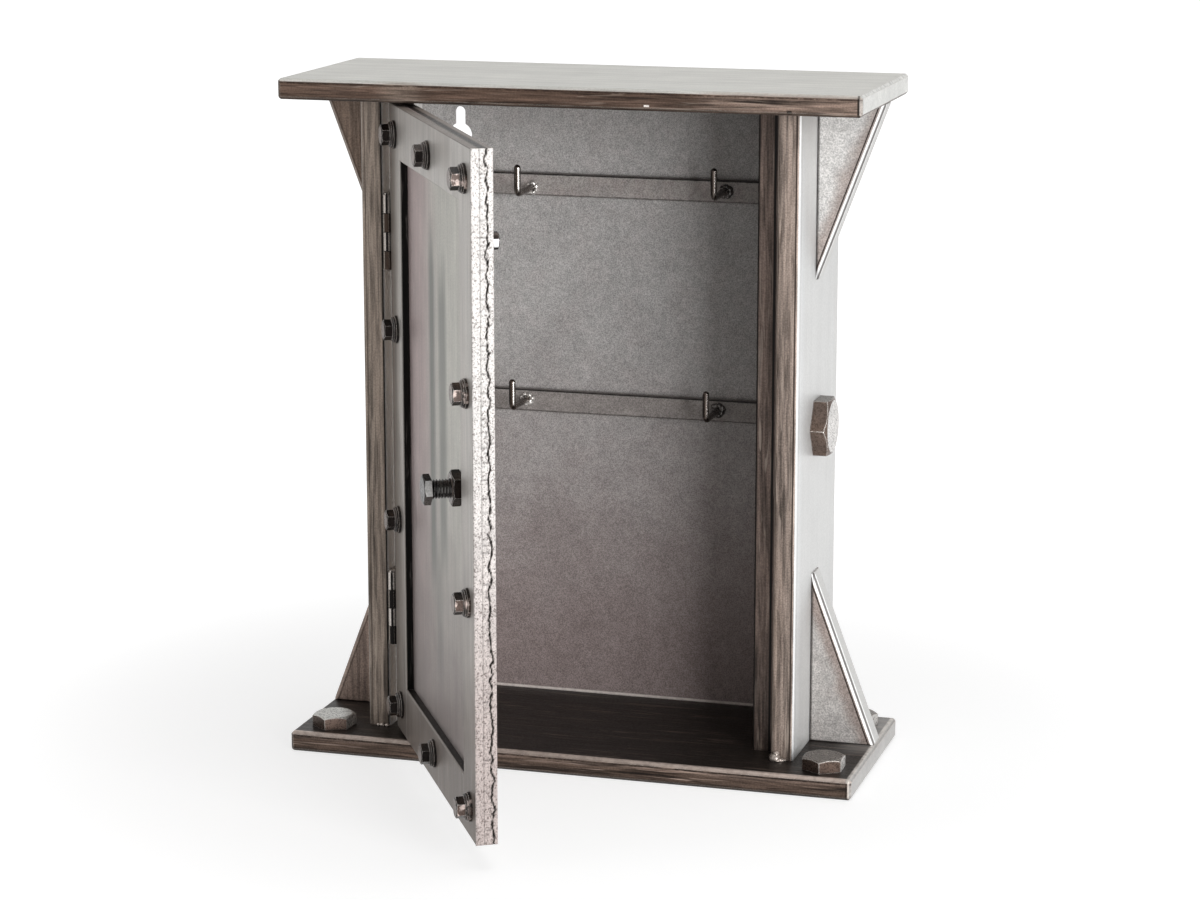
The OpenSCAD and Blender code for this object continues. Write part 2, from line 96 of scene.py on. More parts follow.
def makeStudio():
    lamps = {   # places in metres, powers in watts
        "softbox_right": {"place": Vector((1.04, -0.98, 0.34)), "aim": Vector((0, 0, 0.16)),
                          "size": (0.8, 0.62), "power": 16},
        "softbox_left": {"place": Vector((-1.30, -0.90, 0.60)), "aim": Vector((0, 0, 0.15)),
                         "size": (0.8, 0.9), "power": 4},
        "softbox_top": {"place": Vector((0.15, 0.05, 1.50)), "aim": Vector((0, 0, 0.15)),
                        "size": (0.9, 0.9), "power": 5},
    }
    worldLight = {"onObject": 0.25, "seen": 1.0}
    for name, lamp in lamps.items():
        makeLamp(name, lamp)

    world = bpy.data.worlds.new("studio")
    world.use_nodes = True
    bpy.context.scene.world = world
    nodes, links = world.node_tree.nodes, world.node_tree.links
    ray = nodes.new("ShaderNodeLightPath")
    seen = ray.outputs["Is Camera Ray"]
    for kind in ("Is Glossy Ray", "Is Transmission Ray"):
        larger = nodes.new("ShaderNodeMath")
        larger.operation = "MAXIMUM"
        links.new(seen, larger.inputs[0])
        links.new(ray.outputs[kind], larger.inputs[1])
        seen = larger.outputs[0]
    level = nodes.new("ShaderNodeMapRange")
    level.inputs["To Min"].default_value = worldLight["onObject"]
    level.inputs["To Max"].default_value = worldLight["seen"]
    links.new(seen, level.inputs["Value"])
    links.new(level.outputs[0], nodes["Background"].inputs["Strength"])
    nodes["Background"].inputs["Color"].default_value = (1, 1, 1, 1)
    print("studio lit")


def makeFloor():
    floorLook = {
        "radius": 14.0, "corners": 64,      # metres
        "base": (0.5, 0.5, 0.5, 1), "roughness": 0.9, "shine": 0.05,
        "near": 0.66, "far": 1.0,           # how white it is seen, under the cabinet and away from it
        "fadeFrom": 0.18, "fadeTo": 0.50,   # metres
    }
    mesh = bmesh.new()
    bmesh.ops.create_circle(mesh, cap_ends=True, radius=floorLook["radius"], segments=floorLook["corners"])
    floor = finishPiece(mesh, "studio_floor")
    finish = Finish("pale_floor")
    finish.shader.inputs["Base Color"].default_value = floorLook["base"]
    finish.shader.inputs["Roughness"].default_value = floorLook["roughness"]
    finish.shader.inputs["Specular IOR Level"].default_value = floorLook["shine"]
    finish.shader.inputs["Emission Strength"].default_value = 1
    camera = finish.node("LightPath", {}, {}, "Is Camera Ray")
    gloss = finish.node("LightPath", {}, {}, "Is Glossy Ray")
    place = finish.node("TexCoord", {}, {}, "Object")
    away = finish.node("VectorMath", {"operation": "LENGTH"}, {0: place}, "Value")
    reach = finish.step(away, floorLook["fadeFrom"], floorLook["fadeTo"])
    glow = floorLook["near"] + reach * (floorLook["far"] - floorLook["near"])
    finish.feed(Emission_Color=finish.blend((camera + gloss) * glow, (0, 0, 0, 1), (1, 1, 1, 1)))
    floor.data.materials.append(finish.material)
    print("floor laid")


def tone(red, green, blue):     # a colour as it looks on the screen, 0 to 255
    def linear(value):
        part = value / 255
        return part / 12.92 if part <= 0.04045 else ((part + 0.055) / 1.055) ** 2.4
    return (linear(red), linear(green), linear(blue), 1)


class Wire:     # one value in a material, so that sums can be written out
    def __init__(self, finish, socket):
        self.finish = finish
        self.socket = socket

    def sum(self, operation, first, second):
        return self.finish.node("Math", {"operation": operation}, {0: first, 1: second})

    def __add__(self, other):
        return self.sum("ADD", self, other)

    def __radd__(self, other):
        return self.sum("ADD", other, self)

    def __sub__(self, other):
        return self.sum("SUBTRACT", self, other)

    def __rsub__(self, other):
        return self.sum("SUBTRACT", other, self)

    def __mul__(self, other):
        return self.sum("MULTIPLY", self, other)

    def __rmul__(self, other):
        return self.sum("MULTIPLY", other, self)


class Finish:   # a material, and the nodes that feed its shader
    def __init__(self, name):
        self.material = bpy.data.materials.new(name)
        self.material.use_nodes = True
        self.tree = self.material.node_tree
        self.shader = self.tree.nodes["Principled BSDF"]

    def node(self, kind, settings, inputs, output=0):
        made = self.tree.nodes.new("ShaderNode" + kind)
        for name, value in settings.items():
            setattr(made, name, value)
        for name, value in inputs.items():
            if isinstance(value, Wire):
                self.tree.links.new(value.socket, made.inputs[name])
            else:
                made.inputs[name].default_value = value
        return Wire(self, made.outputs[output])

    def feed(self, **inputs):
        for name, wire in inputs.items():
            self.tree.links.new(wire.socket, self.shader.inputs[name.replace("_", " ")])

    def blend(self, amount, under, over):   # 6, 7 and 2 are the Mix node's colour sockets
        return self.node("Mix", {"data_type": "RGBA"}, {0: amount, 6: under, 7: over}, 2)

    def unsigned(self, value):
        return self.node("Math", {"operation": "ABSOLUTE"}, {0: value})

    def stretched(self, where, x, y, z):
        return self.node("VectorMath", {"operation": "MULTIPLY"}, {0: where, 1: (x, y, z)})

    def noise(self, where, scale, detail=3, roughness=0.5, distortion=0):
        settings = {"Vector": where, "Scale": scale, "Detail": detail,
                    "Roughness": roughness, "Distortion": distortion}
        return self.node("TexNoise", {}, settings)

    def step(self, value, low, high):
        return self.node("MapRange", {"interpolation_type": "SMOOTHSTEP"},
                         {"Value": value, "From Min": low, "From Max": high})

    def scaled(self, colour, amount):
        return self.node("VectorMath", {"operation": "SCALE"}, {0: colour, "Scale": amount})

    def facing(self, normal, direction, low=0.55, high=0.8):
        along = self.node("VectorMath", {"operation": "DOT_PRODUCT"},
                          {0: normal, 1: direction}, "Value")
        return self.step(along, low, high)


left, right, front, back, up, down = (-1, 0, 0), (1, 0, 0), (0, -1, 0), (0, 1, 0), (0, 0, 1), (0, 0, -1)
axes = {"x": 0, "y": 1, "z": 2}

# What a steel has where its own dictionary says nothing. Scales are per metre, edge and
# reach in metres, and what isn't explained is a strength
plainSteel = {
    "onDoor": False,    # patterns turn with the door
    "slope": False,     # has lines along the gussets' sloping side
    "gapShadeAndMarks": False,      # painted shade in cracks and thread roots, with dark grit, joints and ticks, where the mesh's "gap" attribute says so
    "streak": 0.5, "streakScale": 760, "broad": 0.3, "cloud": 0.6, "cloudScale": 40,
    "speck": 0.3, "speckScale": 1400, "patina": 0.35, "patinaTone": tone(96, 78, 66),
    "faces": [],        # painted light and shade by face direction: direction, tone, how much calmer it is, and how squarely a face must look there
    "zones": [],        # tones that cover part of the surface
    "glints": [],       # painted highlights and painted dark bands: direction, how squarely a face must look there, tone
    "lines": [],        # seams, bevels, painted shadow lines and painted highlight lines
    "pits": 0, "scratch": 0, "crease": 0,
    "edge": 0.0006, "wear": 0.8, "wearTone": tone(205, 197, 190),
    # painted shade in inner corners and narrow gaps: its strength, reach, where it starts and its tone
    "cornerShade": 0.8, "cornerShadeReach": 0.003, "cornerShadeFrom": 0.35, "cornerShadeTone": tone(24, 19, 17),
    "roughness": 0.42, "metallic": 0.35, "bump": 0.3,
}
# Noises are drawn out along the grain
grainStretch = {"x": (0.05, 1, 1), "z": (1, 1, 0.05), "none": (1, 1, 1)}

# A noise's scale, detail, roughness and distortion, and the levels it fades in between
patterns = {
    "streak": {"detail": 3, "roughness": 0.6, "distortion": 0.4, "fade": (0.33, 0.67)},
    "broad": {"scale": 200, "detail": 3, "roughness": 0.55, "distortion": 0.6, "fade": (0.32, 0.68)},
    "speck": {"detail": 2, "roughness": 0.6, "fade": (0.3, 0.7)},
    "patina": {"scale": 90, "detail": 4, "roughness": 0.6, "fade": (0.42, 0.66)},
    "pits": {"detail": 2, "roughness": 0.6, "fade": (0.52, 0.66)},
    "scratch": {"scale": 640, "detail": 2, "distortion": 0.9, "fade": (0.58, 0.68)},
    "patch": {"scale": 28, "detail": 2, "fade": (0.4, 0.6)},
    "rubbed": {"scale": 420, "detail": 3, "roughness": 0.6, "fade": (0.36, 0.6)},
}


def pattern(finish, kind, where, **own):
    settings = dict(patterns[kind], **own)
    low, high = settings.pop("fade")
    return finish.step(finish.noise(where, **settings), low, high)


def patchy(amount):     # fainter in places, but nowhere gone
    least = 0.35
    return least + (1 - least) * amount


def zone(axis, start, end, shade, **more):      # a tone that grows from one place to another
    return dict(more, axis=axis, start=start, end=end, tone=shade)


def line(axis, at, half, shade, **more):    # a drawn line and half its width
    return dict(more, axis=axis, at=at, half=half, tone=shade)


def surfacePlace(finish, onDoor):   # a point and its normal, on the closed door for what rides on it
    place = finish.node("TexCoord", {}, {}, "Object")
    normal = finish.node("TexCoord", {}, {}, "Normal")
    if onDoor:
        place = finish.node("Mapping", {"vector_type": "TEXTURE"}, {
            "Vector": place, "Location": hingeLine, "Rotation": (0, 0, -doorOpen)})
        place = finish.node("VectorMath", {"operation": "ADD"}, {0: place, 1: hingeLine})
        normal = finish.node("Mapping", {"vector_type": "VECTOR"}, {
            "Vector": normal, "Rotation": (0, 0, doorOpen)})
    return place, normal


def surfaceRuler(finish, place, slope):
    ruler = {axis: finish.node("SeparateXYZ", {}, {0: place}, index) for axis, index in axes.items()}
    if slope:   # how far outside the gussets' sloping side
        normal = {"x": 0.938, "z": 0.348}
        low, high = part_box("base_right_gusset")
        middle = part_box("top_plate")[1].z / 2
        outward = finish.unsigned(ruler["x"])
        upward = finish.unsigned(ruler["z"] - middle)
        ruler["slope"] = (outward - high.x) * normal["x"] + (middle - low.z - upward) * normal["z"]
    return ruler


# paints light and shade into the colour, with a tone for each way a face looks
def paintLightByFace(finish, marks, faces, colour):
    calm = 0    # how far a face hides the brush marks
    for direction, faceLightTone, calming, *limits in faces:
        turned = finish.facing(marks["normal"], direction, *limits)
        colour = finish.blend(turned, colour, faceLightTone)
        calm = calm + turned * calming
    return colour, calm


def paintZones(finish, marks, zones, colour):
    for area in zones:
        drift = (marks["cloud"] - 0.5) * area.get("ragged", 0)
        amount = finish.step(marks["ruler"][area["axis"]] + drift, area["start"], area["end"])
        for axis, low, high, soft in area.get("within", []):
            inside = marks["ruler"][axis] + (marks["fine"] - 0.5) * soft
            amount = amount * finish.step(inside, low - soft, low + soft)
            amount = amount * (1 - finish.step(inside, high - soft, high + soft))
        if "face" in area:
            amount = amount * finish.facing(marks["normal"], area["face"])
        colour = finish.blend(amount * area.get("amount", 1), colour, area["tone"])
    return colour


def brushOver(finish, marks, look, calm, colour):   # streaks, clouds and specks, lighter and darker
    loud = 1 - calm
    still = 1 - calm * 0.7      # calm faces keep some of their clouds and specks
    brushed = (marks["streak"] - 0.5) * look["streak"] + (marks["broad"] - 0.5) * look["broad"]
    light = 1 + loud * brushed
    for key in ("cloud", "speck"):
        light = light * (1 + still * (marks[key] - 0.5) * look[key])
    return finish.scaled(colour, light)


def scar(finish, marks, look, calm, colour):    # pits, bright scratches and dark creases
    if look["pits"]:
        pitted = pattern(finish, "pits", marks["place"], scale=look["pitScale"])
        colour = finish.blend(pitted * look["pits"], colour, look["pitTone"])
    for key, shift in (("scratch", 0), ("crease", 0.37)):
        if look[key]:
            moved = finish.node("VectorMath", {"operation": "ADD"}, {
                0: marks["along"], 1: (shift, shift, shift)})
            scratched = pattern(finish, "scratch", moved) * patchy(pattern(finish, "patch", marks["place"]))
            colour = finish.blend((1 - calm) * scratched * look[key], colour, look[key + "Tone"])
    return colour


def wearEdges(finish, marks, look, colour):
    bend = {"samples": 4, "from": 0.015, "to": 0.16}    # how far the rounded normal leaves the flat one
    soft = finish.node("Bevel", {"samples": bend["samples"]}, {"Radius": look["edge"]})
    flat = finish.node("NewGeometry", {}, {}, "Normal")
    bent = 1 - finish.node("VectorMath", {"operation": "DOT_PRODUCT"}, {0: soft, 1: flat}, "Value")
    worn = finish.step(bent, bend["from"], bend["to"]) * patchy(marks["rubbed"]) * look["wear"]
    return finish.blend(worn, colour, look["wearTone"]), worn, soft


def drawLines(finish, marks, lines, colour):
    fray = (marks["fine"] - 0.5) * mm(0.2)
    for drawn in lines:
        away = finish.unsigned(marks["ruler"][drawn["axis"]] - drawn["at"] + fray)
        amount = 1 - finish.step(away, drawn["half"] * 0.5, drawn["half"] * 1.5)
        amount = amount * drawn.get("amount", 1)
        if "face" in drawn:
            amount = amount * finish.facing(marks["normal"], drawn["face"])
        if "broken" in drawn:
            amount = amount * (1 - drawn["broken"] * (1 - marks["rubbed"]))
        colour = finish.blend(amount, colour, drawn["tone"])
    return colour


# painted shade in inner corners, creases and narrow gaps, found by ambient occlusion
def paintCornerShade(finish, look, colour):
    corner = {"samples": 4, "full": 0.95}
    opening = finish.node("AmbientOcclusion", {"samples": corner["samples"]}, {
        "Distance": look["cornerShadeReach"]}, "AO")
    cornerShade = finish.step(1 - opening, look["cornerShadeFrom"], corner["full"]) * look["cornerShade"]
    # the "gap" attribute adds painted shade in cracks and thread roots, and dark grit, joints and ticks
    if look["gapShadeAndMarks"]:
        gap = finish.node("Attribute", {"attribute_name": "gap"}, {}, "Fac")
        cornerShade = finish.node("Math", {"operation": "MAXIMUM"}, {0: cornerShade, 1: gap})
    return finish.blend(cornerShade, colour, look["cornerShadeTone"])


# Aged steel. Each face direction has its own tone, painted as the light and shade it gets; brush streaks,
# scratches, clouds and fine grain lie over it, worn edges are bright, glints are painted highlights and dark
# bands, seams are drawn, inner corners get painted shade
def agedSteel(name, ownLook):
    roughBy = {"streak": 0.3, "speck": 0.12, "worn": -0.1}
    raisedBy = {"streak": 0.6, "speck": 0.4, "broad": 0.3}
    relief = 0.0002     # metres
    shine = 0.18
    look = dict(plainSteel, **ownLook)
    finish = Finish(name)
    place, normal = surfacePlace(finish, look["onDoor"])
    along = finish.stretched(place, *grainStretch[look["grain"]])
    brush = patterns["streak"]
    fine = finish.noise(along, look["streakScale"], brush["detail"], brush["roughness"], brush["distortion"])
    marks = {
        "place": place, "along": along, "normal": normal, "fine": fine,
        "ruler": surfaceRuler(finish, place, look["slope"]),
        "streak": finish.step(fine, *brush["fade"]),
        "broad": pattern(finish, "broad", along),
        "cloud": finish.noise(place, look["cloudScale"], detail=4, roughness=0.55),
        "speck": pattern(finish, "speck", place, scale=look["speckScale"]),
        "rubbed": pattern(finish, "rubbed", place),
    }
    patina = pattern(finish, "patina", along) * look["patina"]
    colour = finish.blend(patina, look["base"], look["patinaTone"])
    colour, calm = paintLightByFace(finish, marks, look["faces"], colour)
    colour = paintZones(finish, marks, look["zones"], colour)
    colour = brushOver(finish, marks, look, calm, colour)
    colour = scar(finish, marks, look, calm, colour)
    colour, worn, soft = wearEdges(finish, marks, look, colour)
    # painted highlights and painted dark bands on faces that look one way
    for direction, low, high, glint in look["glints"]:
        colour = finish.blend(finish.facing(normal, direction, low, high), colour, glint)
    colour = drawLines(finish, marks, look["lines"], colour)
    colour = paintCornerShade(finish, look, colour)

    rough = look["roughness"] + (fine - 0.5) * roughBy["streak"] + (marks["speck"] - 0.5) * roughBy["speck"] \
        + worn * roughBy["worn"]
    height = fine * raisedBy["streak"] + marks["speck"] * raisedBy["speck"] \
        + marks["broad"] * raisedBy["broad"]
    bump = finish.node("Bump", {}, {
        "Strength": look["bump"], "Distance": relief, "Height": height, "Normal": soft})
    finish.feed(Base_Color=colour, Roughness=rough, Normal=bump)
    finish.shader.inputs["Metallic"].default_value = look["metallic"]
    finish.shader.inputs["Specular IOR Level"].default_value = shine
    return finish.material


def dress(material, *names):
    for name in names:
        for slot in cadNodes[name].material_slots:
            slot.material = material


def finishPiece(mesh, name, smooth=False):
    data = bpy.data.meshes.new(name)
    mesh.to_mesh(data)
    mesh.free()
    for face in data.polygons:
        face.use_smooth = smooth
    piece = bpy.data.objects.new(name, data)
    bpy.context.scene.collection.objects.link(piece)
    return piece


def copyNode(name, closed=False):   # a CAD node's mesh, merged; closed moves a door piece to its closed place
    mesh = bmesh.new()
    mesh.from_mesh(cadNodes[name].data)
    bmesh.ops.remove_doubles(mesh, verts=mesh.verts, dist=mm(0.002))
    if closed:
        mesh.transform(doorTurn.inverted())
    return mesh


def closedBox(name):    # lowest and highest corner of a door piece, with the door closed
    mesh = copyNode(name, closed=True)
    columns = list(zip(*[vert.co for vert in mesh.verts]))
    mesh.free()
    return Vector([min(column) for column in columns]), Vector([max(column) for column in columns])


def setPiece(piece, body, slot, material, *replaced):
    piece.data.materials.clear()
    piece.data.materials.append(material)
    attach(piece, body)
    if replaced:
        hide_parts(*replaced)


def dressTopPlate():
    low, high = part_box("top_plate")
    topPlate = {
        "base": tone(98, 80, 70), "grain": "x", "streak": 1.0, "broad": 0.8, "cloud": 0.6, "speck": 0.35,
        "patinaTone": tone(74, 58, 48), "patina": 0.6, "scratch": 0.5, "scratchTone": tone(186, 168, 154),
        "crease": 0.6, "creaseTone": tone(46, 35, 29),
        "wear": 0.7, "edge": 0.0008, "wearTone": tone(190, 182, 172), "roughness": 0.62, "metallic": 0.2,
        # painted light and shade by face direction: the top and right side pale, the underside and left side
        # dark
        "faces": [
            (up, tone(219, 218, 213), 0.9), (right, tone(226, 226, 223), 0.9), (down, tone(92, 82, 75), 0.3),
            (left, tone(84, 74, 68), 0.2), (back, tone(120, 108, 100), 0),
        ],
        "zones": [
            zone("x", mm(52), mm(78), tone(150, 130, 118), face=front, amount=0.7, ragged=mm(40)),
            zone("x", mm(-86), mm(-72), tone(140, 124, 112), face=front, amount=0.7,
                 within=[("x", mm(-90), mm(-64), mm(6))]),
            # a bright nick and a dark one in the front edge
            zone("z", low.z - mm(1), low.z, tone(236, 230, 224), face=front,
                 within=[("x", mm(35.4), mm(37.6), mm(0.3)),
                         ("z", low.z + mm(1.8), low.z + mm(2.6), mm(0.2))]),
            zone("z", low.z - mm(1), low.z, tone(24, 18, 15), face=front,
                 within=[("x", mm(96.2), mm(98.2), mm(0.4)),
                         ("z", low.z + mm(0.4), low.z + mm(2.2), mm(0.4))]),
        ],
        "lines": [
            line("z", high.z - mm(1.8), mm(0.35), tone(44, 34, 29), face=front, amount=0.85, broken=0.6),
            line("z", low.z + mm(0.3), mm(0.45), tone(44, 34, 29), face=front, amount=0.8, broken=0.5),
            line("y", low.y + mm(1.5), mm(0.8), tone(212, 214, 208), face=up, amount=0.7, broken=0.5),
            line("x", high.x - mm(1.5), mm(0.5), tone(26, 20, 17), face=front, amount=0.95),
            line("y", low.y + mm(1.9), mm(0.4), tone(120, 112, 106), face=right, amount=0.6),
        ],
    }
    dress(agedSteel("top_plate_steel", topPlate), "top_plate")
    print("top plate dressed")


def dressBasePlate():
    low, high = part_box("base_plate")
    basePlate = {
        "base": tone(92, 77, 68), "grain": "x", "streak": 1.1, "broad": 0.9, "cloud": 0.6, "speck": 0.4,
        "patinaTone": tone(56, 43, 36), "patina": 0.6, "scratch": 0.8, "scratchTone": tone(196, 172, 158),
        "crease": 0.7, "creaseTone": tone(34, 26, 22),
        "wear": 1.0, "edge": 0.0010, "wearTone": tone(236, 222, 212),
        # painted light and shade by face direction: the top painted dark as the shade inside the cabinet, the
        # right side pale
        "faces": [
            (up, tone(34, 29, 26), 0.75), (right, tone(192, 190, 188), 0.9), (down, tone(80, 72, 66), 0),
            (left, tone(84, 74, 68), 0.2), (back, tone(120, 108, 100), 0),
        ],
        "zones": [
            zone("z", mm(5), mm(7.5), tone(140, 122, 112), face=front, amount=0.5, ragged=mm(3)),
            # a painted sheen on the top behind the right gusset
            zone("x", mm(108), mm(124), tone(150, 147, 144), face=up, amount=0.8,
                 within=[("y", mm(-6), mm(60), mm(8))]),
        ],
        "lines": [
            line("y", low.y + mm(1.3), mm(1.2), tone(212, 196, 186), face=up, broken=0.3),
            line("z", high.z - mm(1.8), mm(0.4), tone(34, 26, 22), face=front, amount=0.9, broken=0.4),
            line("z", low.z + mm(1.6), mm(0.5), tone(44, 35, 30), face=front, amount=0.7, broken=0.5),
            line("x", high.x - mm(2.1), mm(0.4), tone(34, 27, 24), face=front, amount=0.7, broken=0.4),
            # a painted highlight down the rounded front right corner
            line("x", high.x - mm(1.1), mm(0.35), tone(226, 216, 208), face=front, broken=0.3),
            line("x", high.x - mm(1.5), mm(0.8), tone(214, 208, 202), face=up, amount=0.95, broken=0.4),
        ],
    }
    dress(agedSteel("base_plate_steel", basePlate), "base_plate")
    print("base plate dressed")


def dressRightWall():
    low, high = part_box("right_side_wall")
    rightWall = {
        "base": tone(142, 128, 119), "grain": "z", "streak": 0.95, "broad": 0.55, "cloud": 0.4, "speck": 0.45,
        "patinaTone": tone(108, 92, 82), "scratch": 0.45, "scratchTone": tone(196, 180, 168),
        "crease": 0.5, "creaseTone": tone(66, 52, 45),
        "wear": 0.5, "edge": 0.0004,
        # painted light and shade by face direction: the right side pale, the inner side dark
        "faces": [
            (right, tone(214, 214, 213), 0.95), (left, tone(96, 86, 80), 0.3),
            (back, tone(140, 130, 124), 0.3),
        ],
        "glints": [((0.92, -0.38, 0), 0.94, 0.98, tone(255, 255, 255))],
        "zones": [
            zone("y", mm(-22), mm(-19), tone(106, 92, 85), face=front),
            # painted light: the right side paler towards its front edge
            zone("y", mm(-14), mm(-28), tone(230, 231, 232), face=right, amount=0.7),
            zone("z", mm(262), high.z, tone(186, 184, 182), face=right, ragged=mm(20)),
        ],
        "lines": [
            line("x", high.x - mm(1.5), mm(0.35), tone(40, 31, 27), face=front, amount=0.9),
            line("x", high.x - mm(9.5), mm(0.3), tone(190, 178, 168), face=front, amount=0.5),
            # a painted shadow line where the post shades the door stop
            line("x", low.x + mm(7.4), mm(0.6), tone(16, 12, 10), face=front),
            line("x", low.x + mm(0.2), mm(0.5), tone(22, 17, 15), face=front),
            line("y", low.y + mm(3.9), mm(0.3), tone(176, 174, 172), face=right, amount=0.7),
        ],
    }
    dress(agedSteel("right_wall_steel", rightWall), "right_side_wall")
    print("right wall dressed")


def dressLeftWall():
    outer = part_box("left_side_wall")[0].x
    leftWall = {
        "base": tone(136, 124, 114), "grain": "z", "streak": 0.95, "broad": 0.6, "cloud": 0.4, "speck": 0.35,
        "patinaTone": tone(98, 84, 74), "scratch": 0.5, "scratchTone": tone(184, 170, 156),
        "crease": 0.5, "creaseTone": tone(70, 58, 50),
        "wear": 0.4, "edge": 0.0004,
        # painted light and shade by face direction: the inner side by the hinge painted near-white as lit
        "faces": [
            (right, tone(255, 253, 250), 0.9), (left, tone(140, 130, 122), 0.3),
            (back, tone(140, 130, 124), 0.3),
        ],
        "glints": [((-0.92, -0.38, 0), 0.94, 0.98, tone(186, 176, 166))],
        "lines": [
            line("x", outer + mm(9.6), mm(0.6), tone(12, 9, 8), face=front),
            line("x", outer + mm(1.9), mm(0.25), tone(64, 52, 45), face=front, amount=0.6),
        ],
    }
    dress(agedSteel("left_wall_steel", leftWall), "left_side_wall")
    print("left wall dressed")


def dressInterior():
    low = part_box("back_panel")[0]
    panel = {
        "base": tone(180, 178, 177), "grain": "none", "streak": 0.1, "streakScale": 500, "broad": 0.12,
        "cloud": 0.25, "speck": 0.65, "speckScale": 2100, "patina": 0.1, "patinaTone": tone(170, 152, 150),
        "wear": 0.3, "bump": 0.35, "metallic": 0.1, "roughness": 0.55,
        # darker and browner towards the bottom: painted fall-off of the light
        "zones": [zone("z", mm(200), mm(15), tone(146, 133, 131), ragged=mm(60))],
        "lines": [line("z", low.z + mm(0.7), mm(0.6), tone(236, 226, 220), face=front, broken=0.2)],
    }
    strips = ("upper_hook_strip", "lower_hook_strip")
    # painted shadow lines along the strips' top edges
    topLines = [line("z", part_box(name)[1].z - mm(0.3), mm(0.6), tone(4, 3, 3), face=front) for name in strips]
    underLines = [line("z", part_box(name)[0].z + mm(0.25), mm(0.35), tone(30, 25, 24),
                       face=front, amount=0.75, broken=0.5) for name in strips]
    strip = dict(panel, base=tone(166, 161, 158), patina=0.25, wear=0.4, speck=0.6,
                 # the lower strip darker: painted fall-off of the light
                 zones=[zone("z", mm(200), mm(140), tone(152, 146, 143))], lines=topLines + underLines)
    hook = {
        "base": tone(96, 88, 83), "grain": "z", "streak": 0.5, "cloud": 0.6, "cloudScale": 200, "speck": 0.3,
        "roughness": 0.22, "metallic": 0.95, "wear": 0.3, "cornerShade": 0.6,
        # a painted highlight and a painted dark band round the rods
        "glints": [
            ((0.75, -0.66, 0), 0.92, 0.98, tone(236, 232, 228)),
            ((-0.7, -0.7, 0), 0.9, 0.98, tone(22, 18, 16)),
        ],
    }
    dress(agedSteel("back_panel_steel", panel), "back_panel")
    dress(agedSteel("strip_steel", strip), *strips)
    dress(agedSteel("hook_steel", hook), *hookNames)
    print("back panel and hooks dressed")


def dressGussets():
    low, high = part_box("base_right_gusset")
    shared = {
        "grain": "none", "streak": 0.15, "broad": 0.2, "cloud": 0.3, "speck": 0.55, "speckScale": 1500,
        "wear": 0.5, "edge": 0.0005, "wearTone": tone(240, 236, 232), "patina": 0.15, "slope": True,
    }
    leftGusset = dict(
        shared, base=tone(112, 96, 85), grain="z", streak=0.6, broad=0.5, wear=0.3,
        wearTone=tone(170, 160, 150), scratch=0.3, scratchTone=tone(170, 152, 138),
        # painted light: the left side lighter, and the lower gussets lighter where they stand in shade
        faces=[(left, tone(150, 140, 132), 0)],
        zones=[zone("z", mm(110), mm(80), tone(142, 124, 114))],
        lines=[line("slope", mm(-1.9), mm(0.3), tone(58, 46, 40), face=front, amount=0.6)],
    )
    rightGusset = dict(
        shared, base=tone(186, 182, 179), patinaTone=tone(160, 146, 140),
        # painted light: the right side pale
        faces=[(right, tone(206, 205, 203), 0.9)],
        glints=[((0.68, -0.71, rise), 0.93, 0.97, tone(246, 246, 246)) for rise in (0.2, -0.2)],
        zones=[
            zone("z", mm(190), mm(220), tone(204, 202, 200)),
            zone("slope", mm(-9), mm(-3), tone(140, 118, 108), face=front, amount=0.6, ragged=mm(14)),
        ],
        lines=[
            line("slope", mm(-2.2), mm(0.28), tone(40, 32, 28), face=front),
            line("y", low.y + mm(1.2), mm(0.4), tone(60, 52, 48), amount=0.85),
            # a painted shadow line where the gusset meets the wall
            line("x", low.x + mm(0.7), mm(0.35), tone(40, 33, 30), face=front, amount=0.6),
        ],
    )
    dress(agedSteel("left_gusset_steel", leftGusset), "top_left_gusset", "base_left_gusset")
    dress(agedSteel("right_gusset_steel", rightGusset), "top_right_gusset", "base_right_gusset")
    print("gussets dressed")


def dressBolts():
    bolt = {
        "base": tone(66, 54, 48), "grain": "none", "streak": 0.2, "cloud": 0.5, "speck": 0.4,
        "roughness": 0.3, "metallic": 0.4, "wear": 1.6, "edge": 0.00065, "cloudScale": 160,
        "wearTone": tone(246, 240, 234),
        # painted light and reflections on the facets: the top and the facets facing right and front each get a
        # tone, and the left bolt's top is lighter
        "faces": [
            (up, tone(112, 106, 101), 0), (right, tone(200, 197, 194), 0, 0.9, 0.97),
            ((0.2, -0.98, 0), tone(136, 116, 106), 0, 0.93, 0.98),
        ],
        "zones": [zone("x", mm(0), mm(-50), tone(190, 189, 184), face=up)],
    }
    sideBolt = dict(bolt, base=tone(102, 88, 80))
    dress(agedSteel("bolt_steel", bolt), "base_bolts")
    dress(agedSteel("side_bolt_steel", sideBolt),
          "left_side_bolt", "right_side_bolt", "left_side_nut", "right_side_nut")
    print("bolts dressed")


def dressScrews():
    darkScrew = {
        "onDoor": True, "base": tone(22, 17, 15), "grain": "none", "streak": 0.3, "cloud": 1.2, "speck": 0.4,
        "cloudScale": 240, "roughness": 0.32, "metallic": 0.1, "wear": 1.5, "edge": 0.00035,
        "wearTone": tone(250, 242, 236), "cornerShade": 1.0, "cornerShadeReach": 0.0016, "cornerShadeFrom": 0.25,
        "cornerShadeTone": tone(8, 6, 6),
        # painted reflections on the head's facets
        "faces": [
            (right, tone(96, 80, 73), 0, 0.93, 0.985), (front, tone(122, 109, 102), 0, 0.9, 0.97),
        ],
        "zones": [
            # the right-facing facets painted dark on the screws towards the hinge, with a painted highlight on
            # those by the free edge
            zone("x", mm(68), mm(52), tone(16, 12, 10), face=right, amount=0.9),
            zone("x", mm(79), mm(85), tone(214, 196, 188), face=right, amount=0.85, ragged=mm(70)),
        ],
    }
    dress(agedSteel("screw_steel", darkScrew), "door_screws", "door_washers", "knob_nut")
    print("screws dressed")


